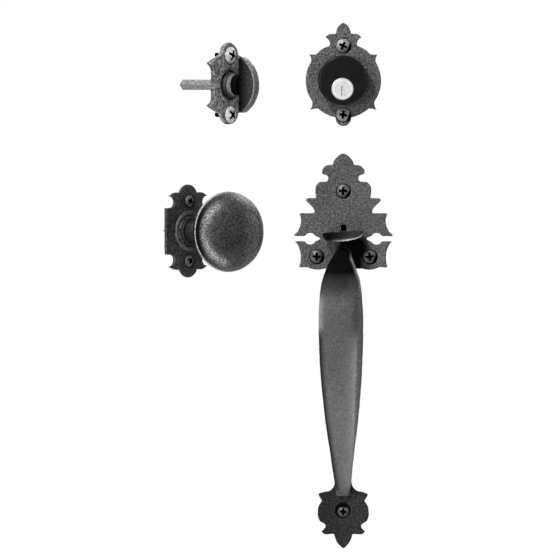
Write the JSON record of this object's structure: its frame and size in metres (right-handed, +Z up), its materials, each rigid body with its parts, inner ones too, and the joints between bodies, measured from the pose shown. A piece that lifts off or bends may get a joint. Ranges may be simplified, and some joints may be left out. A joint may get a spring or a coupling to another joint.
{
  "type": "entry door handleset",
  "caption": "Cast iron thumb-latch pull handle, deadbolt cylinder plate, inside turn piece and inside knob with rose, laid out as a set for one entry door.",
  "frame": {"origin": "door face at the middle of the thumb slot in the handle's upper plate", "axes": "+X to the right across the door, +Y into the door, +Z up; the trim stands towards -Y"},
  "size_m": [0.2077, 0.1333, 0.4733],
  "materials": {
    "handle_iron": "black, fine hammered grain, worn edges",
    "lever_iron": "black, fine hammered grain",
    "bolt_iron": "black, fine hammered grain",
    "turn_iron": "black, worn bright edges",
    "paddle_iron": "black, hammered",
    "rose_iron": "black, tooled",
    "base_iron": "black, worn rim",
    "knob_iron": "black, leathery hammered grain",
    "collar_black": "smooth gloss black",
    "cylinder_nickel": "satin",
    "plug_nickel": "satin",
    "bushing_steel": "dark turned steel",
    "bar_steel": "drawn bar",
    "plain_steel": "plain",
    "dark_screw": "black oxide",
    "grey_screw": "pewter grey",
    "bright_screw": "bright zinc",
    "rose_screw": "black oxide"
  },
  "bodies": {
    "trim": {"grip_handle": "handle_iron", "thumb_pivot_pin": "plain_steel", "handle_screws": "dark_screw", "deadbolt_plate": "bolt_iron", "cylinder_collar": "collar_black", "cylinder_body": "cylinder_nickel", "deadbolt_screws": "grey_screw", "turn_plate": "turn_iron", "turn_bushing": "bushing_steel", "turn_screws": "bright_screw", "knob_plate": "rose_iron", "knob_bushing": "base_iron", "knob_washer": "plain_steel", "knob_screws": "rose_screw"},
    "lever": {"thumb_lever": "lever_iron"},
    "plug": {"key_plug": "plug_nickel", "plug_cap": "plain_steel", "cylinder_tailpiece": "plain_steel"},
    "turn": {"turn_paddle": "paddle_iron", "turn_spindle": "bar_steel", "turn_cross_pin": "plain_steel", "turn_retaining_ring": "plain_steel"},
    "knob_group": {"knob": "knob_iron", "knob_spindle": "bar_steel", "knob_set_screw": "dark_screw", "knob_retaining_ring": "plain_steel"}
  },
  "joints": [
    {"name": "thumb_lift", "type": "hinge", "parent": "trim", "child": "lever", "pos_m": [0, 0.006, 0.0027], "axis": [-1, 0, 0], "range_deg": [0, 18]},
    {"name": "key_turn", "type": "hinge", "parent": "trim", "child": "plug", "pos_m": [0, 0, 0.1319], "axis": [0, 1, 0], "range_deg": [-90, 90]},
    {"name": "bolt_turn", "type": "hinge", "parent": "trim", "child": "turn", "pos_m": [-0.1053, 0, 0.1355], "axis": [0.8192, -0.5736, 0], "range_deg": [-90, 90]},
    {"name": "knob_turn", "type": "hinge", "parent": "trim", "child": "knob_group", "pos_m": [-0.1415, 0, 0.004], "axis": [0.7547, -0.6561, 0], "range_deg": [-60, 60]}
  ]
}
